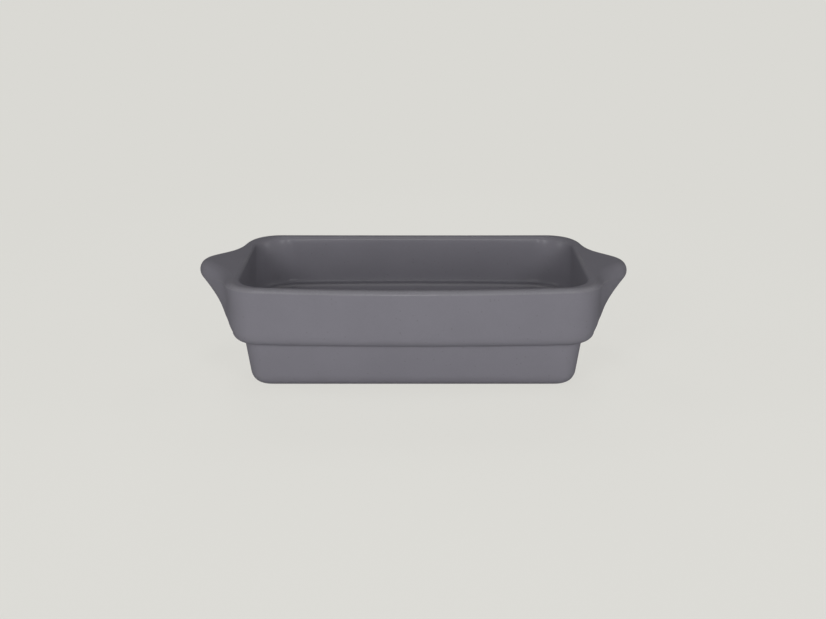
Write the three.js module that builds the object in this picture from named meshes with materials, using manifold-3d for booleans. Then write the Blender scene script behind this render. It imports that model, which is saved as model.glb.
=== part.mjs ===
// Roasting dish: a rectangular ceramic dish with a stepped wall, two lug handles and a bare foot ring.
// Millimetres, +Z up. The origin is on the table under the middle of the dish, +X towards the right handle.

import * as THREE from 'three';
import { mergeVertices } from 'three/addons/utils/BufferGeometryUtils.js';
import Module from 'manifold-3d';

// Plan, on the outer wall line at the rim
const bodyLength = 270.4;
const bodyWidth = 153.2;
const cornerRadius = 25;
const leastCornerRadius = 7.2;
const cornerBlend = 3;
const sideCrown = 2.95;

// Heights above the table
const rimHeight = 83;
const stepHeight = 38.2;
const footHeight = 1.2;
const rimDip = 0.9;

// Outer wall, drafts in degrees
const upperDraft = 1.1;
const lowerDraft = 8.2;
const stepDepth = 10.9;
const stepRounding = 9.4;
const baseRounding = 13.2;

// Rim and inner wall
const rimThickness = 7;
const rimRounding = 3.2;
const innerDraft = 2.5;
const innerCornerFill = 9;
const ledgeThickness = 6;
const ledgeFillet = 3;
const ledgeRounding = 2.5;
const tubThickness = 7;
const floorThickness = 7;
const floorFillet = 12;

// Handles: how far they reach past the end wall, and how wide they spread along it
const handleReach = 29.35;
const handleSpreadFoot = 51;
const handleSpreadTip = 24.5;
const handleSpreadTop = 16.2;
const handleFootPower = 6.2;
const handleTipPower = 2;
const handleTipRounding = 8.3;
const handleTipLean = 41.4;
const handleTipPull = 0.8;
const handleRootLean = 59.5;
const handleRootPull = 0.5;
const leftHandleLift = 1.4;
const rightHandleLift = 0.5;
const jointStandoff = 8;

// Foot ring
const footInset = 3;
const footWidth = 7;
const footRounding = 0.5;

// Facets along each stretch of the outline and of the section
const cornerSteps = 7;
const sideSteps = 8;
const endSteps = 26;
const roundingSteps = 4;
const rimSteps = 7;
const easedSteps = 2;
const sweepSteps = 8;

const halfLength = bodyLength / 2;
const halfWidth = bodyWidth / 2;
const ledgeHeight = stepHeight + ledgeThickness;
const floorHeight = footHeight + floorThickness;

const radians = THREE.MathUtils.degToRad;
const slope = (degrees) => Math.tan(radians(degrees));
const slant = (radius, degrees) => radius / Math.cos(radians(degrees));
const point = (offset, height) => new THREE.Vector2(offset, height);
const lean = (degrees) => point(Math.sin(radians(degrees)), Math.cos(radians(degrees)));

// Sections are drawn as offset from the outer wall line at the rim against height above the table.

function arc(centre, radius, from, to, steps = roundingSteps) {
  const curve = new THREE.EllipseCurve(
    centre.x, centre.y, radius, radius, radians(from), radians(to), to < from);
  return curve.getPoints(steps);
}

const upperWall = (height) => -(rimHeight - height) * slope(upperDraft);
const lowerWall = (height) => -stepDepth - (stepHeight - height) * slope(lowerDraft);
const innerWall = (height) => -rimThickness - (rimHeight - height) * slope(innerDraft);
const tubWall = (height) => lowerWall(height) - tubThickness;

// Centre of a rounding that touches a level face and a drafted wall, on the wall's side given by sign
const touching = (wall, height, radius, draft, sign) =>
  point(wall(height) + sign * slant(radius, draft), height);

const baseCentre = touching(lowerWall, footHeight + baseRounding, baseRounding, lowerDraft, -1);
const bandCentre = touching(upperWall, stepHeight + stepRounding, stepRounding, upperDraft, -1);

// Base rounding, lower wall and the notch under the band
const lowerSection = [
  ...arc(baseCentre, baseRounding, -90, -lowerDraft),
  point(-stepDepth, stepHeight),
];

// Rounded foot of the band, from level to the lean of the wall above it
const bandFoot = (degrees) => arc(bandCentre, stepRounding, -90, -degrees);

// Rim, inner wall, the ledge that follows the step outside, the tub and the edge of the floor
const rimRadius = Math.min(rimRounding, 0.46 * rimThickness);
const rimCentre = touching(upperWall, rimHeight - rimRadius, rimRadius, upperDraft, -1);
const innerRimCentre = touching(innerWall, rimHeight - rimRadius, rimRadius, innerDraft, 1);
const ledgeRun = innerWall(ledgeHeight) - tubWall(ledgeHeight);
const ledgeShare = Math.min(1, 0.9 * ledgeRun / (ledgeFillet + ledgeRounding));
const filletRadius = ledgeFillet * ledgeShare;
const ledgeRadius = ledgeRounding * ledgeShare;
const filletCentre = touching(innerWall, ledgeHeight + filletRadius, filletRadius, innerDraft, -1);
const ledgeCentre = touching(tubWall, ledgeHeight - ledgeRadius, ledgeRadius, lowerDraft, 1);
const floorCentre = touching(tubWall, floorHeight + floorFillet, floorFillet, lowerDraft, -1);
const innerFace = [
  ...arc(innerRimCentre, rimRadius, 90, 180 - innerDraft),
  ...arc(filletCentre, filletRadius, -innerDraft, -90),
];
const tubFace = [
  ...arc(ledgeCentre, ledgeRadius, 90, 180 - lowerDraft),
  ...arc(floorCentre, floorFillet, -lowerDraft, -90),
];

// Upper band where there is no handle: a rounded foot and a straight drafted wall into the rim
function plainBand() {
  const foot = bandFoot(upperDraft);
  const rimArc = arc(rimCentre, rimRadius, -upperDraft, 90, rimSteps);
  const wall = new THREE.LineCurve(foot.at(-1), rimArc[0]);
  return [...foot, ...wall.getPoints(sweepSteps).slice(1, -1), ...rimArc];
}

// Upper band at the middle of a handle: the rounded foot runs on as one sweep out to a rounded tip
function handleBand(lift) {
  const foot = bandFoot(handleRootLean);
  const root = foot.at(-1);
  const tipCentre = point(handleReach - handleTipRounding, rimHeight + lift - handleTipRounding);
  const tipArc = arc(tipCentre, handleTipRounding, -handleTipLean, 90, rimSteps);
  const chord = root.distanceTo(tipArc[0]);
  const sweep = new THREE.CubicBezierCurve(
    root,
    root.clone().addScaledVector(lean(handleRootLean), chord * handleRootPull),
    tipArc[0].clone().addScaledVector(lean(handleTipLean), -chord * handleTipPull),
    tipArc[0],
  );
  return [...foot, ...sweep.getPoints(sweepSteps).slice(1, -1), ...tipArc];
}

const plainSection = [...lowerSection, ...plainBand(), ...innerFace, ...tubFace];
const leftSection = [...lowerSection, ...handleBand(leftHandleLift), ...innerFace, ...tubFace];
const rightSection = [...lowerSection, ...handleBand(rightHandleLift), ...innerFace, ...tubFace];

// Where the sweep, the tip and the inner face begin in the section
const sweepStart = lowerSection.length + roundingSteps;
const tipStart = sweepStart + sweepSteps;
const innerStart = tipStart + rimSteps + 1;

// The outline is a rounded rectangle: shares of its straight runs, and the way out at each station
function outlineStations() {
  const stations = [];
  const add = (alongX, alongY, outX, outY) => stations.push({ alongX, alongY, outX, outY });
  const corner = (alongX, alongY, from) => {
    for (let i = 0; i < cornerSteps; i += 1) {
      const angle = radians(from + 90 * i / cornerSteps);
      add(alongX, alongY, Math.cos(angle), Math.sin(angle));
    }
  };
  const run = (steps, place) => {
    for (let i = 0; i < steps; i += 1) place(2 * i / steps - 1);
  };
  run(sideSteps, (share) => add(share, -1, 0, -1));
  corner(1, -1, -90);
  run(endSteps, (share) => add(1, share, 1, 0));
  corner(1, 1, 0);
  run(sideSteps, (share) => add(-share, 1, 0, 1));
  corner(-1, 1, 90);
  run(endSteps, (share) => add(-1, -share, -1, 0));
  corner(-1, -1, 180);
  return stations;
}
const stations = outlineStations();

// Corners keep one centre from ring to ring, and blend into the least radius low in the tub
function planRadius(offset) {
  const concentric = cornerRadius + offset;
  const blend = Math.hypot(concentric - leastCornerRadius, cornerBlend);
  return (concentric + leastCornerRadius + blend) / 2;
}

function outlinePoint(station, offset, fill = 0) {
  const radius = planRadius(offset) + fill;
  return point(
    station.alongX * (halfLength + offset - radius) + station.outX * radius,
    station.alongY * (halfWidth + offset - radius) + station.outY * radius,
  );
}

// Inside the band the corners grow rounder from the rim down to the ledge
function cornerFill(index) {
  const inside = index >= innerStart && index < innerStart + innerFace.length;
  const depth = (rimHeight - plainSection[index].y) / (rimHeight - ledgeHeight);
  return inside ? innerCornerFill * depth : 0;
}

// Long sides are crowned from the step upwards, and their rim dips a little at mid length
function settle(station, position) {
  const middle = 1 - station.alongX ** 2;
  const rise = THREE.MathUtils.clamp((position.z - footHeight) / (stepHeight - footHeight), 0, 1);
  const above = THREE.MathUtils.clamp((position.z - stepHeight) / (rimHeight - stepHeight), 0, 1);
  position.y += station.outY * sideCrown * middle * rise;
  position.z -= Math.abs(station.outY) * rimDip * middle * above;
  return position;
}

// A handle's share of the section is a bell along the end wall: flat and wide at the foot, narrow at the top
function handleShare(station, index) {
  const upSweep = THREE.MathUtils.clamp((index - sweepStart) / sweepSteps, 0, 1);
  const upTip = THREE.MathUtils.clamp((index - tipStart) / rimSteps, 0, 1);
  const spreadSweep = THREE.MathUtils.lerp(handleSpreadFoot, handleSpreadTip, upSweep);
  const spread = THREE.MathUtils.lerp(spreadSweep, handleSpreadTop, upTip);
  const power = THREE.MathUtils.lerp(handleFootPower, handleTipPower, upSweep);
  const distance = Math.abs(outlinePoint(station, 0).y) / spread;
  return Math.abs(station.outX) * Math.exp(-(distance ** power) / 2);
}

function dishPoint(station, index) {
  const plain = plainSection[index];
  const swept = (station.outX > 0 ? rightSection : leftSection)[index];
  const share = handleShare(station, index);
  const plan = outlinePoint(station, plain.x, cornerFill(index));
  const reach = Math.sign(station.outX) * share * (swept.x - plain.x);
  const height = plain.y + share * (swept.y - plain.y);
  return settle(station, new THREE.Vector3(plan.x + reach, plan.y, height));
}

const footPoint = (section) => (station, index) => {
  const plan = outlinePoint(station, section[index].x);
  return new THREE.Vector3(plan.x, plan.y, section[index].y);
};

// Skin over rings of stations. An open section is closed by a flat panel at its first and last ring.
function skin(place, count, closed) {
  const ring = stations.length;
  const positions = [];
  for (let i = 0; i < count; i += 1) {
    for (const station of stations) positions.push(...place(station, i).toArray());
  }
  const faces = [];
  const bands = closed ? count : count - 1;
  for (let i = 0; i < bands; i += 1) {
    const low = i * ring;
    const high = ((i + 1) % count) * ring;
    for (let j = 0; j < ring; j += 1) {
      const next = (j + 1) % ring;
      faces.push(low + j, low + next, high + next);
      faces.push(low + j, high + next, high + j);
    }
  }
  if (!closed) {
    const under = count * ring;
    const over = under + 1;
    positions.push(0, 0, positions[2]);
    positions.push(0, 0, positions[(count - 1) * ring * 3 + 2]);
    for (let j = 0; j < ring; j += 1) {
      const next = (j + 1) % ring;
      faces.push(under, next, j);
      faces.push(over, (count - 1) * ring + j, (count - 1) * ring + next);
    }
  }
  const geometry = new THREE.BufferGeometry();
  geometry.setAttribute('position', new THREE.Float32BufferAttribute(positions, 3));
  geometry.setIndex(faces);
  return geometry;
}

const wasm = await Module();
wasm.setup();

function toSolid(geometry) {
  const bare = geometry.clone();
  bare.deleteAttribute('normal');
  bare.deleteAttribute('uv');
  const merged = mergeVertices(bare);
  return new wasm.Manifold(new wasm.Mesh({
    numProp: 3,
    vertProperties: new Float32Array(merged.attributes.position.array),
    triVerts: new Uint32Array(merged.index.array),
  }));
}

function toGeometry(solid) {
  const mesh = solid.getMesh();
  const geometry = new THREE.BufferGeometry();
  geometry.setAttribute('position', new THREE.BufferAttribute(mesh.vertProperties, 3));
  geometry.setIndex(new THREE.BufferAttribute(mesh.triVerts, 1));
  return geometry;
}

// Each handle is luted to the end wall's root on a flat upright face
const jointPlane = halfLength + jointStandoff;
function beyondJoint(side) {
  const length = 2 * handleReach;
  const box = new THREE.BoxGeometry(length, 2 * bodyWidth, 3 * rimHeight);
  box.translate(side * (jointPlane + length / 2), 0, 0);
  return toSolid(box);
}

const blank = toSolid(skin(dishPoint, plainSection.length, false));
const body = blank.subtract(beyondJoint(1)).subtract(beyondJoint(-1));
const rightLug = blank.intersect(beyondJoint(1));
const leftLug = blank.intersect(beyondJoint(-1));

// Foot ring under the flat of the base, its lower edges eased
const footOuter = baseCentre.x - footInset;
const footInner = footOuter - footWidth;
const footSection = [
  point(footInner, footHeight),
  ...arc(point(footInner + footRounding, footRounding), footRounding, 180, 270, easedSteps),
  ...arc(point(footOuter - footRounding, footRounding), footRounding, -90, 0, easedSteps),
  point(footOuter, footHeight),
];
const footRing = skin(footPoint(footSection), footSection.length, true);

const glaze = { color: 0x76757c, roughness: 0.5, metalness: 0 };
const bareClay = { color: 0xcbc5ba, roughness: 0.9, metalness: 0 };

function piece(name, geometry, finish) {
  geometry.computeVertexNormals();
  const mesh = new THREE.Mesh(geometry, new THREE.MeshStandardMaterial(finish));
  mesh.name = name;
  return mesh;
}

const roastingDish = new THREE.Group();
roastingDish.name = 'roasting_dish';
roastingDish.add(piece('dish_body', toGeometry(body), glaze));
roastingDish.add(piece('left_handle', toGeometry(leftLug), glaze));
roastingDish.add(piece('right_handle', toGeometry(rightLug), glaze));
roastingDish.add(piece('foot_ring', footRing, bareClay));

export default roastingDish;
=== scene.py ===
import math

import bmesh
import bpy
import numpy as np
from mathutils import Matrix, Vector


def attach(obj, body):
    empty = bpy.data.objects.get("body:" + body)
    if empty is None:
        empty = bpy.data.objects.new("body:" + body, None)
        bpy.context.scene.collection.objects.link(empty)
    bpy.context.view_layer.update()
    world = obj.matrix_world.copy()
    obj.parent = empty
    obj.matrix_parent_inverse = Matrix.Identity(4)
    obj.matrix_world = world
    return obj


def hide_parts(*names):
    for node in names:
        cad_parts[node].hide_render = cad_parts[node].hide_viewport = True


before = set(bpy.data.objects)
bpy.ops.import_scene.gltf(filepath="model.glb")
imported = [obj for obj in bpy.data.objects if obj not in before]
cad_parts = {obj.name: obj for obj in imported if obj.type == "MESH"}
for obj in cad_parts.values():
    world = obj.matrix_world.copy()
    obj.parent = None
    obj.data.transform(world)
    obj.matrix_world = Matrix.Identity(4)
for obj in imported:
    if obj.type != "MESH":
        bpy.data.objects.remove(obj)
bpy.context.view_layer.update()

bl_info = {
    "name": "Roasting dish",
    "version": (1, 0, 0),
    "blender": (4, 5, 0),
    "location": "3D View > Sidebar > Dish",
    "description": "Builds a glazed roasting dish, its bare foot ring and a plain studio stage",
    "category": "Object",
}

GLAZE_NAME = "satin_grey_glaze"
CLAY_NAME = "bare_fired_clay"
MM = 0.001

# Picture in pixels, and the camera's sensor in millimetres and clipping in metres
IMAGE_WIDTH = 826
IMAGE_HEIGHT = 619
SENSOR_WIDTH = 36.0
CLIP_START = 0.01
CLIP_END = 200.0

# Facets along each stretch of the outline and of the section
CORNER_STEPS = 20
SIDE_STEPS = 40
END_STEPS = 90
BASE_FLAT_STEPS = 22
BASE_STEPS = 12
WALL_STEPS = 9
NOTCH_STEPS = 5
FOOT_OF_BAND_STEPS = 10
SWEEP_STEPS = 30
RIM_STEPS = 18
STRIP_STEPS = 12
INNER_RIM_STEPS = 10
LEDGE_STEPS = 6
FLOOR_STEPS = 10
FOOT_RING_STEPS = 6

# Rings of a flat panel, as shares of the way from its middle to its edge
PANEL_SHARES = np.array([0.97, 0.8, 0.6, 0.4, 0.2, 0.08])

# Rings of the ground that the dish stands on, as radii in metres, and facets round each
GROUND_RADII = np.array([0.3, 1.0, 3.0, 9.0, 30.0])
GROUND_STEPS = 64

# Most of the rim's thickness that one of its rounded edges may take
RIM_ROUNDING_SHARE = 0.46

# How the corner fill grows down the inner wall, and the tub's share of it at the ledge
FACE_FILL_POWER = 0.3
TUB_FILL_SHARE = 0.55

# Rolled edge of the glaze, in heights of the roll: its half width, and the base kept inside the ring
ROLL_WIDTH = 1.6
ROLL_MARGIN = 6.0

# Waves of the kiln's warp: number round the outline, phase, radians to a metre of height, and share
WARP_WAVES = ((3, 0.7, 0.0, 1.0), (7, 2.1, 60.0, 0.6))

# Cuts at the luting faces: how near the plane counts as on it, and the most corners of a cut quad
CUT_TOLERANCE = 1e-7
CUT_QUAD_CORNERS = 5

# Least length and least squared length to divide by
LEAST_LENGTH = 1e-12
LEAST_SQUARE = 1e-10

# Patterns of the glaze and the clay, in waves or points to the metre
CLOUD_SCALE = 26.0
GRAIN_SCALE = 700.0
PEEL_SCALE = 260.0
SPECK_SCALE = 330.0
PINHOLE_SCALE = 150.0
RUB_SCALE = 45.0
CLAY_GRAIN_SCALE = 1400.0
GRIT_SCALE = 900.0

# Middle of what a noise pattern gives
NOISE_MIDDLE = 0.5

# Bend in 1/m over which the glaze turns thin and lighter on an edge, partly a painted highlight, and
# gathers darker in a hollow, partly painted shade
THIN_AND_HIGHLIGHT_BEND = (60.0, 420.0)
POOL_AND_SHADE_BEND = (-420.0, -50.0)

# Ranges over which a pattern sets in: distance to a point, the lot drawn for it, or depth of a cloud
SPECK_RADIUS = (0.1, 0.24)
SPECK_LOT = (0.8, 0.9)
PINHOLE_RADIUS = (0.02, 0.06)
TONE_RANGE = (0.3, 0.7)
GRIT_RADIUS = (0.15, 0.35)
GRIT_LOT = (0.78, 0.86)
RUB_RANGE = (0.52, 0.68)

# Parts of cloud and grain in the glaze's tone, and how much clouding adds to the thin glaze and its
# painted edge highlight
TONE_OF_CLOUD = 0.7
TONE_OF_GRAIN = 0.3
THIN_AND_HIGHLIGHT_BY_CLOUD = 0.4

# How much each pattern changes the roughness of glaze and clay
ROUGH_BY_CLOUD = 0.1
ROUGH_BY_GRAIN = 0.06
ROUGH_BY_POOL = -0.07
ROUGH_BY_THIN = 0.05
CLAY_ROUGH_BY_GRAIN = 0.1
CLAY_ROUGH_BY_RUB = -0.12

# Part of each pattern in the relief of glaze and clay, and the strength of that relief
RELIEF_OF_PEEL = 0.6
RELIEF_OF_GRAIN = 0.25
RELIEF_OF_PINHOLE = -0.5
RELIEF_OF_SPECK = -0.15
CLAY_RELIEF_OF_GRAIN = 0.7
CLAY_RELIEF_OF_GRIT = -0.5
GLAZE_BUMP = 0.22
CLAY_BUMP = 0.4


# Properties

def length(name, description, millimetres):
    """A length property. Its default is given in millimetres and kept in metres."""
    return bpy.props.FloatProperty(
        name=name, description=description, default=millimetres * MM, unit="LENGTH", precision=4)


def angle(name, description, degrees):
    """An angle property. Its default is given in degrees."""
    return bpy.props.FloatProperty(
        name=name, description=description, default=math.radians(degrees),
        subtype="ANGLE", unit="ROTATION")


def number(name, description, value):
    """A plain number."""
    return bpy.props.FloatProperty(name=name, description=description, default=value, precision=4)


def colour(name, description, red, green, blue):
    """A linear colour."""
    return bpy.props.FloatVectorProperty(
        name=name, description=description, default=(red, green, blue), size=3,
        subtype="COLOR", min=0.0, max=1.0)


class DishBodySizes(bpy.types.PropertyGroup):
    """Plan, heights and wall section of the dish."""
    body_length: length("Body length", "Over the end walls at the rim", 270.4)
    body_width: length("Body width", "Over the long walls at the rim, at the corners", 153.2)
    corner_radius: length("Corner radius", "Plan radius of the outer wall at the rim", 25)
    least_corner_radius: length("Least corner radius", "Plan radius low in the tub", 7.2)
    corner_blend: length("Corner blend", "How softly corners turn to the least radius", 3)
    side_crown: length("Side crown", "Bow of the long walls at mid length", 2.95)
    rim_height: length("Rim height", "From the table to the rim", 83)
    step_height: length("Step height", "From the table to the underside of the upper band", 38.2)
    foot_height: length("Foot height", "From the table to the glazed base", 1.2)
    rim_dip: length("Rim dip", "How far the long rims sink at mid length", 0.9)
    upper_draft: angle("Upper draft", "Lean of the upper band", 1.1)
    lower_draft: angle("Lower draft", "Lean of the tub wall", 8.2)
    step_depth: length("Step depth", "How far the tub stands in under the band", 10.9)
    step_rounding: length("Step rounding", "Rounded foot of the band", 9.4)
    notch_fillet: length("Notch fillet", "Glaze gathered in the corner under the band", 0.9)
    base_rounding: length("Base rounding", "Rounded edge of the base", 13.2)
    rim_thickness: length("Rim thickness", "Wall thickness at the rim", 7)
    rim_rounding: length("Rim rounding", "Rounded edges of the rim", 3.2)
    inner_draft: angle("Inner draft", "Lean of the inner wall above the ledge", 2.5)
    inner_corner_fill: length("Inner corner fill", "Growth of the inner corners down to the ledge", 20)
    ledge_thickness: length("Ledge thickness", "From the band's underside to the ledge", 6)
    ledge_fillet: length("Ledge fillet", "Hollow between the inner wall and the ledge", 3)
    ledge_rounding: length("Ledge rounding", "Rounded edge of the ledge", 2.5)
    tub_thickness: length("Tub thickness", "Wall thickness of the tub", 7)
    floor_thickness: length("Floor thickness", "From the base to the floor inside", 7)
    floor_fillet: length("Floor fillet", "Hollow between the tub wall and the floor", 12)
    kiln_warp: length("Kiln warp", "Slight unevenness of the fired walls", 0.1)


class DishHandleSizes(bpy.types.PropertyGroup):
    """How the lug handles grow out of the end walls."""
    reach: length("Reach", "How far a handle stands out past the end wall", 29.35)
    spread_foot: length("Spread at the foot", "Half width of the bell where the sweep begins", 51)
    spread_tip: length("Spread at the tip", "Half width of the bell where the tip begins", 24.5)
    spread_top: length("Spread at the top", "Half width of the bell at the crown", 16.2)
    foot_power: number("Foot power", "How flat the bell is where the sweep begins", 6.2)
    tip_power: number("Tip power", "How flat the bell is from the tip upwards", 2)
    tip_rounding: length("Tip rounding", "Rounded tip seen from the side", 8.3)
    tip_lean: angle("Tip lean", "Lean of the sweep where it meets the tip", 41.4)
    tip_pull: number("Tip pull", "Stiffness of the sweep at the tip, as a share of its chord", 0.8)
    root_lean: angle("Root lean", "Lean of the sweep where it leaves the band's foot", 59.5)
    root_pull: number("Root pull", "Stiffness of the sweep at the root, as a share of its chord", 0.5)
    left_lift: length("Left lift", "Height of the left crown over the rim", 1.4)
    right_lift: length("Right lift", "Height of the right crown over the rim", 0.5)
    joint_standoff: length("Joint standoff", "From the end wall to the luting face", 8)


class DishFootSizes(bpy.types.PropertyGroup):
    """The bare ring that the dish stands on."""
    inset: length("Inset", "From the edge of the flat base to the ring", 3)
    width: length("Width", "Width of the ring", 7)
    rounding: length("Rounding", "Eased lower edges of the ring", 0.5)
    glaze_roll: length("Glaze roll", "Thick edge of the glaze beside the ring", 0.35)


class DishFinishes(bpy.types.PropertyGroup):
    """Colours and textures of the glaze and of the bare clay."""
    glaze: colour("Glaze", "Glaze at its usual thickness", 0.193, 0.187, 0.212)
    # Partly glaze drawn thin over an edge, partly a painted highlight on edges
    glaze_thin_and_highlight: colour("Thin glaze", "Glaze drawn thin over an edge", 0.208, 0.203, 0.219)
    # Partly glaze gathered in a hollow, partly painted shade in hollows
    glaze_pool_and_shade: colour("Pooled glaze", "Glaze gathered in a hollow", 0.155, 0.153, 0.172)
    speck: colour("Speck", "Small iron specks in the glaze", 0.105, 0.1, 0.104)
    clay: colour("Clay", "Bare fired clay", 0.6, 0.56, 0.49)
    clay_dark: colour("Dark clay", "Shaded grains and rubbed marks", 0.4, 0.37, 0.325)
    clay_light_grain: number("Light grain", "Brightness of the lightest grains of clay", 1.05)
    clay_dark_grain: number("Dark grain", "Brightness of the darkest grains of clay", 0.93)
    clouding: number("Clouding", "Share by which the glaze's tone strays either way", 0.025)
    # Share of the thin glaze with its painted edge highlight
    thinning_and_highlight: number("Thinning", "Share of thin glaze over an edge, before clouding", 0.45)
    # Share of the pooled glaze with its painted shade in hollows
    pooling_and_shade: number("Pooling", "Share of pooled glaze in a hollow", 0.6)
    specks: number("Specks", "How much the iron specks show", 0.28)
    rubbing: number("Rubbing", "How much the rubbed marks on the clay show", 0.45)
    grits: number("Grits", "How much the dark grits in the clay show", 0.6)
    sheen: number("Sheen", "Share of the light that the glaze mirrors", 0.011)
    sheen_roughness: number("Sheen roughness", "Roughness of the satin sheen", 0.24)
    body_roughness: number("Body roughness", "Roughness of the glaze under its sheen", 0.9)
    clay_roughness: number("Clay roughness", "Roughness of the bare clay", 0.86)
    glaze_relief: length("Glaze relief", "Depth of the glaze's orange peel and pinholes", 0.25)
    clay_relief: length("Clay relief", "Depth of the clay's grain and grits", 0.2)


class DishStage(bpy.types.PropertyGroup):
    """Background, floor, lights and camera."""
    background: colour("Background", "Colour of floor and backdrop", 0.701, 0.694, 0.658)
    floor_lit: colour("Lit floor", "Floor near the dish, where lamps light it", 0.15, 0.149, 0.1425)
    floor_glow: number("Floor glow", "Share of the background that the floor near the dish keeps", 0.9)
    floor_bounce: colour("Floor bounce", "Floor in the light that it throws back", 0.8, 0.8, 0.8)
    shadow_start: length("Shadow start", "Distance at which the floor's shadow starts to fade", 250)
    shadow_end: length("Shadow end", "Distance at which the floor's shadow is gone", 700)
    front_power: number("Front power", "Watts of the softbox in front", 6.0)
    quarter_power: number("Quarter power", "Watts of each softbox between front and side", 5.4)
    side_power: number("Side power", "Watts of each softbox at the side", 2.6)
    back_power: number("Back power", "Watts of each softbox behind", 1.9)
    rear_power: number("Rear power", "Watts of the low softbox straight behind", 10.0)
    top_power: number("Top power", "Watts of the softbox overhead", 1.5)
    left_lead: number("Left lead", "Share by which the left softboxes outshine the even level", 0.08)
    front_elevation: angle("Front elevation", "Height of the softbox in front", 6)
    quarter_elevation: angle("Quarter elevation", "Height of the softboxes between front and side", 21)
    side_elevation: angle("Side elevation", "Height of the softboxes at the sides", 20)
    back_elevation: angle("Back elevation", "Height of the softboxes behind", 40)
    rear_elevation: angle("Rear elevation", "Height of the softbox straight behind", 5)
    top_elevation: angle("Top elevation", "Height of the softbox overhead", 80)
    quarter_azimuth: angle("Quarter azimuth", "From the front round to a quarter softbox", 25)
    side_azimuth: angle("Side azimuth", "From the front round to a side softbox", 90)
    back_azimuth: angle("Back azimuth", "From the front round to a back softbox", 150)
    light_distance: length("Light distance", "From the softboxes to the dish", 1500)
    light_size: length("Light size", "Edge of a square softbox", 400)
    view_elevation: angle("View elevation", "How far the camera looks down", 16)
    view_distance: length("View distance", "From the camera to the middle of the rim", 870)
    lens: bpy.props.FloatProperty(
        name="Lens", description="Focal length", default=49.15, unit="CAMERA")
    target_x: number("Target x", "Image column of the middle of the rim", 413.42)
    target_y: number("Target y", "Image row of the middle of the rim", 259.57)


# Section of the wall, as offset from the outer wall line at the rim against height

def upper_wall(body, height):
    """Outer face of the band: it leans in by the upper draft from the rim down."""
    return -(body.rim_height - height) * math.tan(body.upper_draft)


def lower_wall(body, height):
    """Outer face of the tub: it stands in by the step and leans in by the lower draft."""
    return -body.step_depth - (body.step_height - height) * math.tan(body.lower_draft)


def inner_wall(body, height):
    """Inner face above the ledge: a rim's thickness in, leaning in by the inner draft."""
    return -body.rim_thickness - (body.rim_height - height) * math.tan(body.inner_draft)


def tub_wall(body, height):
    """Inner face of the tub: its outer face less the wall."""
    return lower_wall(body, height) - body.tub_thickness


def touching(wall, body, height, radius, draft, side):
    """Centre of a rounding that touches a drafted wall at this height, on the given side of it."""
    return np.array([wall(body, height) + side * radius / math.cos(draft), height])


def arc(centre, radius, start, stop, steps):
    """Points of a circle: centre plus radius times cosine and sine of angles from start to stop."""
    turn = np.radians(np.linspace(start, stop, steps + 1))
    return centre + radius * np.stack([np.cos(turn), np.sin(turn)], axis=1)


def between(first, last, steps):
    """Points inside a straight run, its two ends left out."""
    share = np.linspace(0.0, 1.0, steps + 1)[1:-1, None]
    return first + share * (last - first)


def lean(turn):
    """Unit vector that leans outwards from upright by an angle."""
    return np.array([math.sin(turn), math.cos(turn)])


def sweep(first, last, chord_pulls, leans, steps):
    """Inside points of a cubic curve: the ends, each pulled along its lean by a share of the chord."""
    chord = np.linalg.norm(last - first)
    near = first + chord * chord_pulls[0] * lean(leans[0])
    far = last - chord * chord_pulls[1] * lean(leans[1])
    share = np.linspace(0.0, 1.0, steps + 1)[1:-1, None]
    rest = 1.0 - share
    return rest**3 * first + 3 * rest**2 * share * near + 3 * rest * share**2 * far + share**3 * last


def base_edge(body):
    """Centre of the rounding at the edge of the base."""
    height = body.foot_height + body.base_rounding
    return touching(lower_wall, body, height, body.base_rounding, body.lower_draft, -1)


def glazed_base(body, foot):
    """Flat of the base, with a rolled edge of glaze just outside and just inside the foot ring."""
    outer = base_edge(body)[0] - foot.inset
    inner = outer - foot.width
    margin = ROLL_MARGIN * foot.glaze_roll
    offset = np.linspace(inner - margin, base_edge(body)[0], BASE_FLAT_STEPS + 1)[:-1]
    width = ROLL_WIDTH * foot.glaze_roll
    roll = np.exp(-((offset - outer - width) / width) ** 2)
    roll += np.exp(-((offset - inner + width) / width) ** 2)
    return np.stack([offset, body.foot_height - foot.glaze_roll * roll], axis=1)


def outer_section(body, foot):
    """Base, its rounded edge, the tub wall and the filleted notch under the band."""
    lower = math.degrees(body.lower_draft)
    base = arc(base_edge(body), body.base_rounding, -90, -lower, BASE_STEPS)
    notch_height = body.step_height - body.notch_fillet
    notch_centre = touching(
        lower_wall, body, notch_height, body.notch_fillet, body.lower_draft, 1)
    notch = arc(notch_centre, body.notch_fillet, 180 - lower, 90, NOTCH_STEPS)
    return np.concatenate([
        glazed_base(body, foot),
        base,
        between(base[-1], notch[0], WALL_STEPS),
        notch,
    ])


def band_foot(body, turn):
    """Rounded foot of the band, from level to the lean of the wall above it."""
    height = body.step_height + body.step_rounding
    centre = touching(upper_wall, body, height, body.step_rounding, body.upper_draft, -1)
    return arc(centre, body.step_rounding, -90, -math.degrees(turn), FOOT_OF_BAND_STEPS)


def rim_radius(body):
    """Rounding of the rim's edges, at most just under half its thickness."""
    return min(body.rim_rounding, RIM_ROUNDING_SHARE * body.rim_thickness)


def plain_band(body):
    """Band where there is no handle: its foot, the drafted wall and a quarter round at the rim."""
    foot = band_foot(body, body.upper_draft)
    radius = rim_radius(body)
    centre = touching(
        upper_wall, body, body.rim_height - radius, radius, body.upper_draft, -1)
    rim = arc(centre, radius, -math.degrees(body.upper_draft), 90, RIM_STEPS)
    return np.concatenate([foot, between(foot[-1], rim[0], SWEEP_STEPS), rim])


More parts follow.
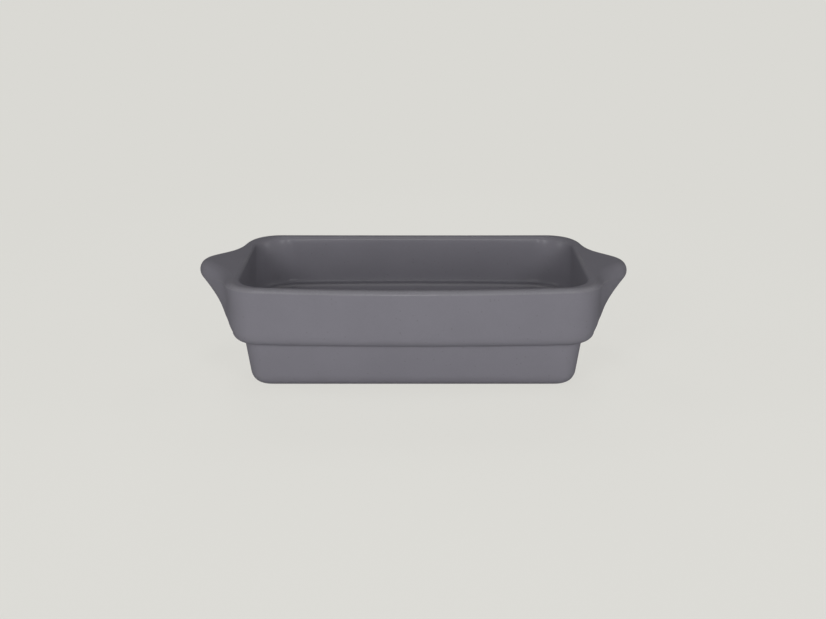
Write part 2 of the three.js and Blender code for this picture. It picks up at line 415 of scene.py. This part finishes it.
def handle_band(body, handle, lift):
    """Band at the middle of a handle: its foot runs on as one sweep to a rounded tip."""
    foot = band_foot(body, handle.root_lean)
    radius = handle.tip_rounding
    centre = np.array([handle.reach - radius, body.rim_height + lift - radius])
    tip = arc(centre, radius, -math.degrees(handle.tip_lean), 90, RIM_STEPS)
    rise = sweep(
        foot[-1], tip[0], (handle.root_pull, handle.tip_pull),
        (handle.root_lean, handle.tip_lean), SWEEP_STEPS)
    return np.concatenate([foot, rise, tip])


def inner_section(body):
    """Inner rim, inner wall, the ledge with its hollow and rounded edge, the tub and the floor's edge.

    Comes with each point's share of the corner fill: a power of its depth below the rim over that of
    the ledge, and on the tub a lesser share that fades out evenly down to the floor.
    """
    inner, lower = math.degrees(body.inner_draft), math.degrees(body.lower_draft)
    radius = rim_radius(body)
    ledge_height = body.step_height + body.ledge_thickness
    floor_height = body.foot_height + body.floor_thickness
    rim = arc(
        touching(inner_wall, body, body.rim_height - radius, radius, body.inner_draft, 1),
        radius, 90, 180 - inner, INNER_RIM_STEPS)
    hollow = arc(
        touching(inner_wall, body, ledge_height + body.ledge_fillet, body.ledge_fillet,
                 body.inner_draft, -1),
        body.ledge_fillet, -inner, -90, LEDGE_STEPS)
    ledge = arc(
        touching(tub_wall, body, ledge_height - body.ledge_rounding, body.ledge_rounding,
                 body.lower_draft, 1),
        body.ledge_rounding, 90, 180 - lower, LEDGE_STEPS)
    floor = arc(
        touching(tub_wall, body, floor_height + body.floor_fillet, body.floor_fillet,
                 body.lower_draft, -1),
        body.floor_fillet, -lower, -90, FLOOR_STEPS)
    face = np.concatenate([rim, between(rim[-1], hollow[0], WALL_STEPS), hollow])
    tub = np.concatenate([ledge, between(ledge[-1], floor[0], WALL_STEPS), floor])
    face_fill = ((body.rim_height - face[:, 1]) / (body.rim_height - ledge_height)) ** FACE_FILL_POWER
    tub_fill = TUB_FILL_SHARE * (tub[:, 1] - floor_height) / (ledge_height - floor_height)
    return np.concatenate([face, tub]), np.concatenate([face_fill, tub_fill])


def dish_section(body, handle, foot):
    """Whole section from the middle of the base round to the middle of the floor.

    Gives the plain section and the two handle sections, how far each point has climbed the sweep and
    the tip, each from 0 to 1, its share of the corner fill, and its share of the way out from the
    middle of a flat panel, which is 1 beyond the panels.
    """
    outer = outer_section(body, foot)
    inner, inner_fill = inner_section(body)
    bands = [
        plain_band(body),
        handle_band(body, handle, handle.left_lift),
        handle_band(body, handle, handle.right_lift),
    ]
    panel = len(PANEL_SHARES)
    sections = [
        np.concatenate([
            np.repeat(outer[:1], panel, axis=0),
            outer,
            band,
            between(band[-1], inner[0], STRIP_STEPS),
            inner,
            np.repeat(inner[-1:], panel, axis=0),
        ])
        for band in bands
    ]
    place = np.arange(len(sections[0]))
    sweep_start = panel + len(outer) + FOOT_OF_BAND_STEPS
    up_sweep = np.clip((place - sweep_start) / SWEEP_STEPS, 0, 1)
    up_tip = np.clip((place - sweep_start - SWEEP_STEPS) / RIM_STEPS, 0, 1)
    fill = np.zeros(len(place))
    fill[len(place) - panel - len(inner):len(place) - panel] = inner_fill
    outward = np.concatenate([PANEL_SHARES[::-1], np.ones(len(place) - 2 * panel), PANEL_SHARES])
    return sections, (up_sweep, up_tip, fill, outward)


# Outline of the dish and the surface over it

def outline_stations():
    """Stations round a rounded rectangle: shares along its straight runs, and the way out at each."""
    run = np.arange(SIDE_STEPS) * 2.0 / SIDE_STEPS - 1.0
    end = np.arange(END_STEPS) * 2.0 / END_STEPS - 1.0
    quarter = 0.5 * np.pi
    turn = np.arange(CORNER_STEPS) * quarter / CORNER_STEPS

    def stretch(*rows):
        return np.stack(np.broadcast_arrays(*rows))

    def corner(along_x, along_y, start):
        return stretch(along_x, along_y, np.cos(start + turn), np.sin(start + turn))

    return np.concatenate([
        stretch(run, -1, 0, -1),
        corner(1, -1, -quarter),
        stretch(1, end, 1, 0),
        corner(1, 1, 0.0),
        stretch(-run, 1, 0, 1),
        corner(-1, 1, quarter),
        stretch(-1, -end, -1, 0),
        corner(-1, -1, 2 * quarter),
    ], axis=1)


def outline(body, stations, offset, fill):
    """Plan of the outline at an offset: straight runs shortened by the plan radius, plus the corners.

    The corner radius follows the offset and blends into its least value low in the tub. A fill adds
    to it.
    """
    along_x, along_y, out_x, out_y = stations
    concentric = body.corner_radius + offset
    least = body.least_corner_radius
    radius = fill + 0.5 * (concentric + least + np.hypot(concentric - least, body.corner_blend))
    x = along_x * (0.5 * body.body_length + offset - radius) + out_x * radius
    y = along_y * (0.5 * body.body_width + offset - radius) + out_y * radius
    return x, y


def dish_surface(body, handle, foot):
    """Surface of the glazed dish over section and outline, as an array of rows by stations by three.

    Each point is the plain section carried round the outline. On the end walls it moves towards the
    handle's section by a share that is a bell along the wall, flat and wide at its foot, narrow at its
    top. Long walls bow out and their rims dip by a parabola along their length. A sum of slow sine waves
    round the outline adds the kiln's slight warp.
    """
    (plain, left, right), along_section = dish_section(body, handle, foot)
    up_sweep, up_tip, fill, outward = (values[:, None] for values in along_section)
    stations = outline_stations()
    along_x, _, out_x, out_y = stations
    offset, height = plain[:, :1], plain[:, 1:]
    around = np.linspace(0.0, 2.0 * np.pi, stations.shape[1], endpoint=False)
    rise = np.clip((height - body.foot_height) / (body.step_height - body.foot_height), 0, 1)
    warp = sum(
        share * np.sin(count * around + phase + climb * height)
        for count, phase, climb, share in WARP_WAVES)
    x, y = outline(
        body, stations, offset + body.kiln_warp * rise * warp, body.inner_corner_fill * fill)
    spread = handle.spread_foot + (handle.spread_tip - handle.spread_foot) * up_sweep
    spread = spread + (handle.spread_top - handle.spread_tip) * up_tip
    power = handle.foot_power + (handle.tip_power - handle.foot_power) * up_sweep
    _, rim_y = outline(body, stations, 0.0, 0.0)
    share = np.abs(out_x) * np.exp(-0.5 * (np.abs(rim_y) / spread) ** power)
    swept = np.where(out_x[None, :, None] > 0, right[:, None], left[:, None])
    x = x + np.sign(out_x) * share * (swept[..., 0] - offset)
    z = height + share * (swept[..., 1] - height)
    middle = 1.0 - along_x**2
    lift = np.clip((z - body.foot_height) / (body.step_height - body.foot_height), 0, 1)
    above = np.clip((z - body.step_height) / (body.rim_height - body.step_height), 0, 1)
    y = y + out_y * body.side_crown * middle * lift
    z = z - np.abs(out_y) * body.rim_dip * middle * above
    return np.stack([x * outward, y * outward, z], axis=2)


def bend(points):
    """How strongly the surface bends, in 1/m, positive over an edge and negative in a hollow.

    Along each grid direction it is the change of the unit normal, taken along the step and divided by
    the step's length squared. The two directions are added.
    """
    along = 0.5 * (np.roll(points, -1, axis=1) - np.roll(points, 1, axis=1))
    up = np.gradient(points, axis=0)
    normal = np.cross(along, up)
    normal /= np.maximum(np.linalg.norm(normal, axis=2, keepdims=True), LEAST_LENGTH)
    turn_along = 0.5 * (np.roll(normal, -1, axis=1) - np.roll(normal, 1, axis=1))
    turn_up = np.gradient(normal, axis=0)

    def rate(turn, step):
        return (turn * step).sum(axis=2) / np.maximum((step * step).sum(axis=2), LEAST_SQUARE)

    return rate(turn_along, along) + rate(turn_up, up)


def grid_faces(rows, stations, closed):
    """Quads of a grid whose stations go round. A closed grid joins its last row to its first."""
    low = np.arange(rows if closed else rows - 1)
    high = (low + 1) % rows
    here = np.arange(stations)
    after = (here + 1) % stations
    corners = [
        low[:, None] * stations + here,
        low[:, None] * stations + after,
        high[:, None] * stations + after,
        high[:, None] * stations + here,
    ]
    return np.stack(corners, axis=2).reshape(-1, 4)


def fan_faces(middle, start, stations, up):
    """Triangles from one middle vertex to a ring, facing up or down."""
    here = start + np.arange(stations)
    after = start + (np.arange(stations) + 1) % stations
    ring = [here, after] if up else [after, here]
    return np.stack([np.full(stations, middle), *ring], axis=1)


def fill_mesh(name, points, *face_sets):
    """A smooth mesh from an array of points and arrays of faces with a fixed number of corners each."""
    mesh = bpy.data.meshes.new(name)
    sides = np.concatenate([np.full(len(faces), faces.shape[1]) for faces in face_sets])
    corners = np.concatenate([faces.ravel() for faces in face_sets])
    mesh.vertices.add(len(points))
    mesh.vertices.foreach_set("co", points.astype(np.float32).ravel())
    mesh.loops.add(len(corners))
    mesh.loops.foreach_set("vertex_index", corners.astype(np.int32))
    mesh.polygons.add(len(sides))
    mesh.polygons.foreach_set("loop_start", (np.cumsum(sides) - sides).astype(np.int32))
    mesh.update(calc_edges=True)
    mesh.validate()
    mesh.shade_smooth()
    return mesh


def add_values(mesh, name, kind, field, values):
    """Stores one value per vertex under a name that a material can read."""
    layer = mesh.attributes.new(name, kind, "POINT")
    layer.data.foreach_set(field, values.astype(np.float32).ravel())


def glazed_skin(scene):
    """The whole glazed surface as one closed mesh. Each vertex keeps its smooth normal and its bend."""
    surface = dish_surface(scene.dish_body, scene.dish_handle, scene.dish_foot)
    rows, stations, _ = surface.shape
    points = surface.reshape(-1, 3)
    middles = np.array([[0, 0, points[0, 2]], [0, 0, points[-1, 2]]])
    count = len(points)
    mesh = fill_mesh(
        "glazed_skin",
        np.concatenate([points, middles]),
        grid_faces(rows, stations, False),
        fan_faces(count, 0, stations, False),
        fan_faces(count + 1, count - stations, stations, True),
    )
    normals = np.empty(3 * (count + 2), np.float32)
    mesh.vertex_normals.foreach_get("vector", normals)
    add_values(mesh, "skin_normal", "FLOAT_VECTOR", "vector", normals)
    bends = np.concatenate([bend(surface).ravel(), np.zeros(2)])
    add_values(mesh, "bend", "FLOAT", "value", bends)
    return mesh


def cut_at_joint(mesh, name, planes):
    """Copy of the skin, cut flat at each plane. A plane is given as its x and the side that goes.

    The skin's own normals are set on the copy, so shading runs unbroken over the joint. A face with
    more corners than a cut quad has is a luting face, and is shaded flat.
    """
    shape = bmesh.new()
    shape.from_mesh(mesh)
    for x, side in planes:
        cut = bmesh.ops.bisect_plane(
            shape, geom=shape.verts[:] + shape.edges[:] + shape.faces[:], dist=CUT_TOLERANCE,
            plane_co=(x, 0, 0), plane_no=(side, 0, 0), clear_outer=True)
        seam = [part for part in cut["geom_cut"] if isinstance(part, bmesh.types.BMEdge)]
        bmesh.ops.holes_fill(shape, edges=seam, sides=0)
    bmesh.ops.recalc_face_normals(shape, faces=shape.faces[:])
    piece = bpy.data.meshes.new(name)
    shape.to_mesh(piece)
    shape.free()
    piece.shade_smooth()
    corners = np.empty(len(piece.loops), np.int32)
    piece.loops.foreach_get("vertex_index", corners)
    kept = np.empty(3 * len(piece.vertices), np.float32)
    piece.attributes["skin_normal"].data.foreach_get("vector", kept)
    kept = kept.reshape(-1, 3)
    kept /= np.maximum(np.linalg.norm(kept, axis=1, keepdims=True), LEAST_LENGTH)
    normals = kept[corners]
    totals = np.empty(len(piece.polygons), np.int32)
    flats = np.empty(3 * len(piece.polygons), np.float32)
    piece.polygons.foreach_get("loop_total", totals)
    piece.polygons.foreach_get("normal", flats)
    luted = np.repeat(totals > CUT_QUAD_CORNERS, totals)
    normals[luted] = np.repeat(flats.reshape(-1, 3), totals, axis=0)[luted]
    piece.normals_split_custom_set(normals)
    piece.attributes.remove(piece.attributes["skin_normal"])
    return piece


def foot_surface(body, foot):
    """Foot ring: a closed section with eased lower edges, carried round the outline under the base."""
    outer = base_edge(body)[0] - foot.inset
    inner = outer - foot.width
    eased = foot.rounding
    section = np.concatenate([
        np.array([[inner, body.foot_height]]),
        arc(np.array([inner + eased, eased]), eased, 180, 270, FOOT_RING_STEPS),
        between(np.array([inner + eased, 0.0]), np.array([outer - eased, 0.0]), FOOT_RING_STEPS),
        arc(np.array([outer - eased, eased]), eased, -90, 0, FOOT_RING_STEPS),
        np.array([[outer, body.foot_height]]),
    ])
    x, y = outline(body, outline_stations(), section[:, :1], 0.0)
    return np.stack([x, y, np.broadcast_to(section[:, 1:], x.shape)], axis=2)


# Materials

class Signal:
    """A socket of a shader. Sums, differences and products of number signals add their Math nodes."""

    def __init__(self, socket):
        self.socket = socket

    def maths(self, operation, first, second):
        """A Math node of this shader with two inputs, each a signal or a number."""
        node = self.socket.id_data.nodes.new("ShaderNodeMath")
        node.operation = operation
        plug(node.inputs[0], first)
        plug(node.inputs[1], second)
        return Signal(node.outputs[0])

    def __add__(self, other):
        return self.maths("ADD", self, other)

    def __radd__(self, other):
        return self.maths("ADD", other, self)

    def __sub__(self, other):
        return self.maths("SUBTRACT", self, other)

    def __rsub__(self, other):
        return self.maths("SUBTRACT", other, self)

    def __mul__(self, other):
        return self.maths("MULTIPLY", self, other)

    def __rmul__(self, other):
        return self.maths("MULTIPLY", other, self)


def plug(socket, value):
    """Links a signal to a socket, or sets the socket to a plain value."""
    if isinstance(value, Signal):
        socket.id_data.links.new(value.socket, socket)
    elif isinstance(socket.default_value, (int, float)):
        socket.default_value = value
    else:
        wanted = len(socket.default_value)
        socket.default_value = (*value, 1.0)[:wanted]


class Shader:
    """A node tree that is filled from plain calls."""

    def __init__(self, tree):
        self.tree = tree
        tree.nodes.clear()

    def node(self, kind, settings=None, output=0, **sockets):
        """Adds a node, sets its settings first and then its sockets, and gives one of its outputs.

        A socket is named by its own name with underscores for spaces, or as in_ and its number.
        """
        node = self.tree.nodes.new(kind)
        for key, value in (settings or {}).items():
            setattr(node, key, value)
        for key, value in sockets.items():
            place = int(key[3:]) if key.startswith("in_") else key.replace("_", " ")
            plug(node.inputs[place], value)
        return Signal(node.outputs[output]) if node.outputs else None

    def noise(self, where, scale, detail=2.0, roughness=0.5):
        """Cloudy pattern from 0 to 1, so many waves to the metre."""
        return self.node(
            "ShaderNodeTexNoise", Vector=where, Scale=scale, Detail=detail, Roughness=roughness)

    def cells(self, where, scale, output):
        """Scattered points: the distance to the nearest, or a colour of its own for each."""
        return self.node("ShaderNodeTexVoronoi", output=output, Vector=where, Scale=scale)

    def rise(self, value, low, high, start=0.0, stop=1.0):
        """Smooth step of a value from start below low to stop above high."""
        return self.node(
            "ShaderNodeMapRange", {"interpolation_type": "SMOOTHSTEP", "clamp": True},
            Value=value, From_Min=low, From_Max=high, To_Min=start, To_Max=stop)

    def fall(self, value, low, high):
        """Smooth step of a value from one below low to nought above high."""
        return self.rise(value, low, high, 1.0, 0.0)

    def spots(self, where, scale, radius, lot):
        """Round spots at scattered points, only where the lot drawn for the point is high."""
        away = self.cells(where, scale, "Distance")
        drawn = self.node("ShaderNodeSeparateColor", Color=self.cells(where, scale, "Color"))
        return self.fall(away, *radius) * self.rise(drawn, *lot)

    def mix(self, share, first, second):
        """One colour turning into another by a share."""
        return self.node(
            "ShaderNodeMix", {"data_type": "RGBA"}, output=2, in_0=share, in_6=first, in_7=second)

    def seen_ray(self):
        """One for a ray from the eye, also by way of a reflection or through glass, or nought."""
        names = ["Is Camera Ray", "Is Glossy Ray", "Is Transmission Ray"]
        total = sum(self.node("ShaderNodeLightPath", output=name) for name in names)
        return self.node("ShaderNodeClamp", Value=total)


def new_material(name):
    """An empty material and its shader."""
    material = bpy.data.materials.new(name)
    material.use_nodes = True
    return material, Shader(material.node_tree)


def shaded(tint, share):
    """A colour made lighter or darker by a share."""
    return [share * channel for channel in tint]


def glaze_material(finish):
    """Satin stoneware glaze: clouded grey, thin and lighter over edges as partly a painted highlight,
    gathered and darker in hollows as partly painted shade, with fine specks.

    Each colour turns into the next by a pattern's share. Roughness and relief are weighted sums of the
    patterns. A small, even share of the surface is a clear sheen.
    """
    material, shader = new_material(GLAZE_NAME)
    where = shader.node("ShaderNodeTexCoord", output="Object")
    bend_rate = shader.node("ShaderNodeAttribute", {"attribute_name": "bend"}, output="Fac")
    # Edges by their bend: lighter thin glaze there, partly a painted highlight
    thin_and_highlight = shader.rise(bend_rate, *THIN_AND_HIGHLIGHT_BEND)
    # Hollows by their bend: darker pooled glaze there, partly painted shade
    pool_and_shade = shader.fall(bend_rate, *POOL_AND_SHADE_BEND)
    cloud = shader.noise(where, CLOUD_SCALE, detail=3.0, roughness=0.55)
    grain = shader.noise(where, GRAIN_SCALE)
    peel = shader.noise(where, PEEL_SCALE, detail=1.0)
    speck = shader.spots(where, SPECK_SCALE, SPECK_RADIUS, SPECK_LOT)
    pinhole = shader.fall(shader.cells(where, PINHOLE_SCALE, "Distance"), *PINHOLE_RADIUS)

    tone = shader.rise(cloud * TONE_OF_CLOUD + grain * TONE_OF_GRAIN, *TONE_RANGE)
    darker = shaded(finish.glaze, 1.0 - finish.clouding)
    lighter = shaded(finish.glaze, 1.0 + finish.clouding)
    even = shader.mix(tone, darker, lighter)
    # Thin glaze over edges, partly a painted highlight
    edged_and_highlit = shader.mix(thin_and_highlight * (finish.thinning_and_highlight + THIN_AND_HIGHLIGHT_BY_CLOUD * cloud), even, finish.glaze_thin_and_highlight)
    # Pooled glaze in hollows, partly painted shade
    gathered_and_shaded = shader.mix(pool_and_shade * finish.pooling_and_shade, edged_and_highlit, finish.glaze_pool_and_shade)
    specked = shader.mix(speck * finish.specks, gathered_and_shaded, finish.speck)
    rough = (
        finish.sheen_roughness + ROUGH_BY_CLOUD * (cloud - NOISE_MIDDLE)
        + ROUGH_BY_GRAIN * (grain - NOISE_MIDDLE) + ROUGH_BY_POOL * pool_and_shade + ROUGH_BY_THIN * thin_and_highlight)
    height = (
        peel * RELIEF_OF_PEEL + grain * RELIEF_OF_GRAIN
        + pinhole * RELIEF_OF_PINHOLE + speck * RELIEF_OF_SPECK)
    normal = shader.node(
        "ShaderNodeBump", Strength=GLAZE_BUMP, Distance=finish.glaze_relief, Height=height)
    body = shader.node(
        "ShaderNodeBsdfPrincipled", Base_Color=specked, Roughness=finish.body_roughness, Normal=normal,
        Specular_IOR_Level=0.0)
    sheen = shader.node("ShaderNodeBsdfGlossy", Color=(1.0, 1.0, 1.0), Roughness=rough, Normal=normal)
    surface = shader.node("ShaderNodeMixShader", in_0=finish.sheen, in_1=body, in_2=sheen)
    shader.node("ShaderNodeOutputMaterial", Surface=surface)
    return material


def clay_material(finish):
    """Bare fired clay: fine grains, a few dark grits, rubbed grey where it has stood on shelves."""
    material, shader = new_material(CLAY_NAME)
    where = shader.node("ShaderNodeTexCoord", output="Object")
    cloud = shader.noise(where, RUB_SCALE, detail=4.0, roughness=0.6)
    grain = shader.noise(where, CLAY_GRAIN_SCALE)
    grit = shader.spots(where, GRIT_SCALE, GRIT_RADIUS, GRIT_LOT)
    rubbed = shader.rise(cloud, *RUB_RANGE) * finish.rubbing

    dark_grain = shaded(finish.clay, finish.clay_dark_grain)
    light_grain = shaded(finish.clay, finish.clay_light_grain)
    pale = shader.mix(grain, dark_grain, light_grain)
    worn = shader.mix(rubbed, pale, finish.clay_dark)
    tone = shader.mix(grit * finish.grits, worn, finish.clay_dark)
    rough = (
        finish.clay_roughness + CLAY_ROUGH_BY_GRAIN * (grain - NOISE_MIDDLE)
        + CLAY_ROUGH_BY_RUB * rubbed)
    height = grain * CLAY_RELIEF_OF_GRAIN + grit * CLAY_RELIEF_OF_GRIT
    normal = shader.node(
        "ShaderNodeBump", Strength=CLAY_BUMP, Distance=finish.clay_relief, Height=height)
    surface = shader.node(
        "ShaderNodeBsdfPrincipled", Base_Color=tone, Roughness=rough, Normal=normal)
    shader.node("ShaderNodeOutputMaterial", Surface=surface)
    return material


def floor_material(stage):
    """Pale floor. The eye sees the background's colour, darkened by the object's shadow near it."""
    material, shader = new_material("pale_floor")
    where = shader.node("ShaderNodeTexCoord", output="Object")
    away = shader.node("ShaderNodeVectorMath", {"operation": "LENGTH"}, output="Value", in_0=where)
    far = shader.rise(away, stage.shadow_start, stage.shadow_end)
    lit = shader.node("ShaderNodeBsdfDiffuse", Color=stage.floor_lit)
    glow = shader.node("ShaderNodeEmission", Color=stage.background, Strength=stage.floor_glow)
    near = shader.node("ShaderNodeAddShader", in_0=lit, in_1=glow)
    plain = shader.node("ShaderNodeEmission", Color=stage.background, Strength=1.0)
    seen = shader.node("ShaderNodeMixShader", in_0=far, in_1=near, in_2=plain)
    bounce = shader.node("ShaderNodeBsdfDiffuse", Color=stage.floor_bounce)
    either = shader.node("ShaderNodeMixShader", in_0=shader.seen_ray(), in_1=bounce, in_2=seen)
    shader.node("ShaderNodeOutputMaterial", Surface=either)
    return material


def shared_material(name, make, *settings):
    """The material of this name, made when it is first asked for."""
    return bpy.data.materials.get(name) or make(*settings)


# Pieces and stage

def add_piece(context, name, mesh, material, slot, *nodes):
    """Puts a mesh into the scene as a piece that rides on the dish and stands for its CAD nodes."""
    piece = bpy.data.objects.new(name, mesh)
    context.scene.collection.objects.link(piece)
    mesh.materials.append(material)
    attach(piece, "root")
    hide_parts(*nodes)


def joint_plane(scene):
    """Distance of the handles' luting faces from the middle of the dish."""
    return 0.5 * scene.dish_body.body_length + scene.dish_handle.joint_standoff


class DISH_OT_body(bpy.types.Operator):
    """Build the glazed body between the handles' luting faces"""
    bl_idname = "dish.body"
    bl_label = "Glazed body"

    def execute(self, context):
        scene = context.scene
        joint = joint_plane(scene)
        glaze = shared_material(GLAZE_NAME, glaze_material, scene.dish_finish)
        skin = glazed_skin(scene)
        mesh = cut_at_joint(skin, "glazed_body", [(joint, 1), (-joint, -1)])
        bpy.data.meshes.remove(skin)
        add_piece(context, "glazed_body", mesh, glaze, "glaze", "dish_body")
        return {"FINISHED"}


class DISH_OT_handles(bpy.types.Operator):
    """Build the two glazed lug handles"""
    bl_idname = "dish.handles"
    bl_label = "Lug handles"

    def execute(self, context):
        scene = context.scene
        joint = joint_plane(scene)
        glaze = shared_material(GLAZE_NAME, glaze_material, scene.dish_finish)
        skin = glazed_skin(scene)
        for name, side, node in (("glazed_left_handle", -1, "left_handle"),
                                 ("glazed_right_handle", 1, "right_handle")):
            mesh = cut_at_joint(skin, name, [(side * joint, -side)])
            add_piece(context, name, mesh, glaze, "glaze", node)
        bpy.data.meshes.remove(skin)
        return {"FINISHED"}


class DISH_OT_foot_ring(bpy.types.Operator):
    """Build the bare ring that the dish stands on"""
    bl_idname = "dish.foot_ring"
    bl_label = "Foot ring"

    def execute(self, context):
        scene = context.scene
        surface = foot_surface(scene.dish_body, scene.dish_foot)
        rows, stations, _ = surface.shape
        mesh = fill_mesh("bare_foot_ring", surface.reshape(-1, 3), grid_faces(rows, stations, True))
        clay = shared_material(CLAY_NAME, clay_material, scene.dish_finish)
        add_piece(context, "bare_foot_ring", mesh, clay, "bare_clay", "foot_ring")
        return {"FINISHED"}


def softboxes(stage):
    """Each softbox's name, azimuth, elevation, watts, and whether the glaze mirrors it.

    A left one has the lead more than the even level and a right one the lead less, apart from the back.
    """
    boxes = [
        ("front_softbox", 0.0, stage.front_elevation, stage.front_power, True),
        ("top_softbox", 0.0, stage.top_elevation, stage.top_power, True),
        ("rear_softbox", math.pi, stage.rear_elevation, stage.rear_power, False),
    ]
    for name, side in (("left", -1), ("right", 1)):
        lead = 1.0 - side * stage.left_lead
        boxes += [
            (name + "_quarter_softbox", side * stage.quarter_azimuth, stage.quarter_elevation,
             lead * stage.quarter_power, True),
            (name + "_side_softbox", side * stage.side_azimuth, stage.side_elevation,
             lead * stage.side_power, True),
            (name + "_back_softbox", side * stage.back_azimuth, stage.back_elevation,
             stage.back_power, False),
        ]
    return boxes


def add_softbox(context, stage, target, name, azimuth, elevation, power, mirrored):
    """A square soft light round the target, at an azimuth from the camera's side and an elevation."""
    light = bpy.data.lights.new(name, "AREA")
    light.shape = "SQUARE"
    light.size = stage.light_size
    light.energy = power
    lamp = bpy.data.objects.new(name, light)
    level = math.cos(elevation)
    away = Vector((math.sin(azimuth) * level, -math.cos(azimuth) * level, math.sin(elevation)))
    lamp.location = target + stage.light_distance * away
    lamp.rotation_euler = (-away).to_track_quat("-Z", "Y").to_euler()
    lamp.visible_glossy = mirrored
    context.scene.collection.objects.link(lamp)


def add_floor(context, stage):
    """A wide round floor: rings of growing radius about the middle."""
    radius = GROUND_RADII[:, None]
    turn = np.linspace(0.0, 2.0 * np.pi, GROUND_STEPS, endpoint=False)
    rings = np.stack(
        [radius * np.cos(turn), radius * np.sin(turn), np.zeros_like(radius * turn)], axis=2)
    points = np.concatenate([rings.reshape(-1, 3), np.zeros((1, 3))])
    faces = grid_faces(len(radius), len(turn), False)[:, ::-1]
    mesh = fill_mesh("floor", points, faces, fan_faces(len(points) - 1, 0, len(turn), True))
    mesh.materials.append(floor_material(stage))
    floor = bpy.data.objects.new("floor", mesh)
    context.scene.collection.objects.link(floor)


def light_world(context, stage):
    """A world that lights nothing, and in which the eye sees the background's colour."""
    world = bpy.data.worlds.new("studio")
    world.use_nodes = True
    context.scene.world = world
    shader = Shader(world.node_tree)
    dark = shader.node("ShaderNodeBackground", Strength=0.0)
    seen = shader.node("ShaderNodeBackground", Color=stage.background, Strength=1.0)
    either = shader.node("ShaderNodeMixShader", in_0=shader.seen_ray(), in_1=dark, in_2=seen)
    shader.node("ShaderNodeOutputWorld", Surface=either)


def add_camera(context, stage, target):
    """A camera that looks down on a target from the front, which it shows at a given image point."""
    data = bpy.data.cameras.new("camera")
    data.sensor_width = SENSOR_WIDTH
    data.lens = stage.lens
    data.clip_start = CLIP_START
    data.clip_end = CLIP_END
    data.shift_x = (0.5 * IMAGE_WIDTH - stage.target_x) / IMAGE_WIDTH
    data.shift_y = (stage.target_y - 0.5 * IMAGE_HEIGHT) / IMAGE_WIDTH
    camera = bpy.data.objects.new("camera", data)
    back = Vector((0.0, -math.cos(stage.view_elevation), math.sin(stage.view_elevation)))
    camera.location = target + stage.view_distance * back
    camera.rotation_euler = (-back).to_track_quat("-Z", "Y").to_euler()
    context.scene.collection.objects.link(camera)
    context.scene.camera = camera


class DISH_OT_stage(bpy.types.Operator):
    """Build the floor, the lights, the background and the camera"""
    bl_idname = "dish.stage"
    bl_label = "Studio stage"

    def execute(self, context):
        scene = context.scene
        stage = scene.dish_stage
        middle = Vector((0.0, 0.0, scene.dish_body.rim_height))
        add_floor(context, stage)
        light_world(context, stage)
        for box in softboxes(stage):
            add_softbox(context, stage, middle, *box)
        add_camera(context, stage, middle)
        scene.view_settings.view_transform = "Standard"
        return {"FINISHED"}


class DISH_PT_sidebar(bpy.types.Panel):
    """Lists the dish's sizes, finishes and build steps"""
    bl_idname = "DISH_PT_sidebar"
    bl_label = "Roasting dish"
    bl_space_type = "VIEW_3D"
    bl_region_type = "UI"
    bl_category = "Dish"

    def draw(self, context):
        for operator in OPERATORS:
            self.layout.operator(operator.bl_idname)
        for key, group in GROUPS.items():
            box = self.layout.box()
            box.label(text=group.__doc__)
            for prop in group.__annotations__:
                box.prop(getattr(context.scene, key), prop)


GROUPS = {
    "dish_body": DishBodySizes,
    "dish_handle": DishHandleSizes,
    "dish_foot": DishFootSizes,
    "dish_finish": DishFinishes,
    "dish_stage": DishStage,
}
OPERATORS = (DISH_OT_body, DISH_OT_handles, DISH_OT_foot_ring, DISH_OT_stage)


def register():
    """Registers the classes and hangs the property groups on the scene."""
    for item in (*GROUPS.values(), *OPERATORS, DISH_PT_sidebar):
        bpy.utils.register_class(item)
    for key, group in GROUPS.items():
        setattr(bpy.types.Scene, key, bpy.props.PointerProperty(type=group))


def unregister():
    """Takes the property groups and the classes away again."""
    for key in GROUPS:
        delattr(bpy.types.Scene, key)
    for item in (DISH_PT_sidebar, *reversed(OPERATORS), *reversed(GROUPS.values())):
        bpy.utils.unregister_class(item)


def main():
    """Builds the dish and its stage."""
    register()
    bpy.ops.dish.body()
    bpy.ops.dish.handles()
    bpy.ops.dish.foot_ring()
    bpy.ops.dish.stage()


if __name__ == "__main__":
    main()
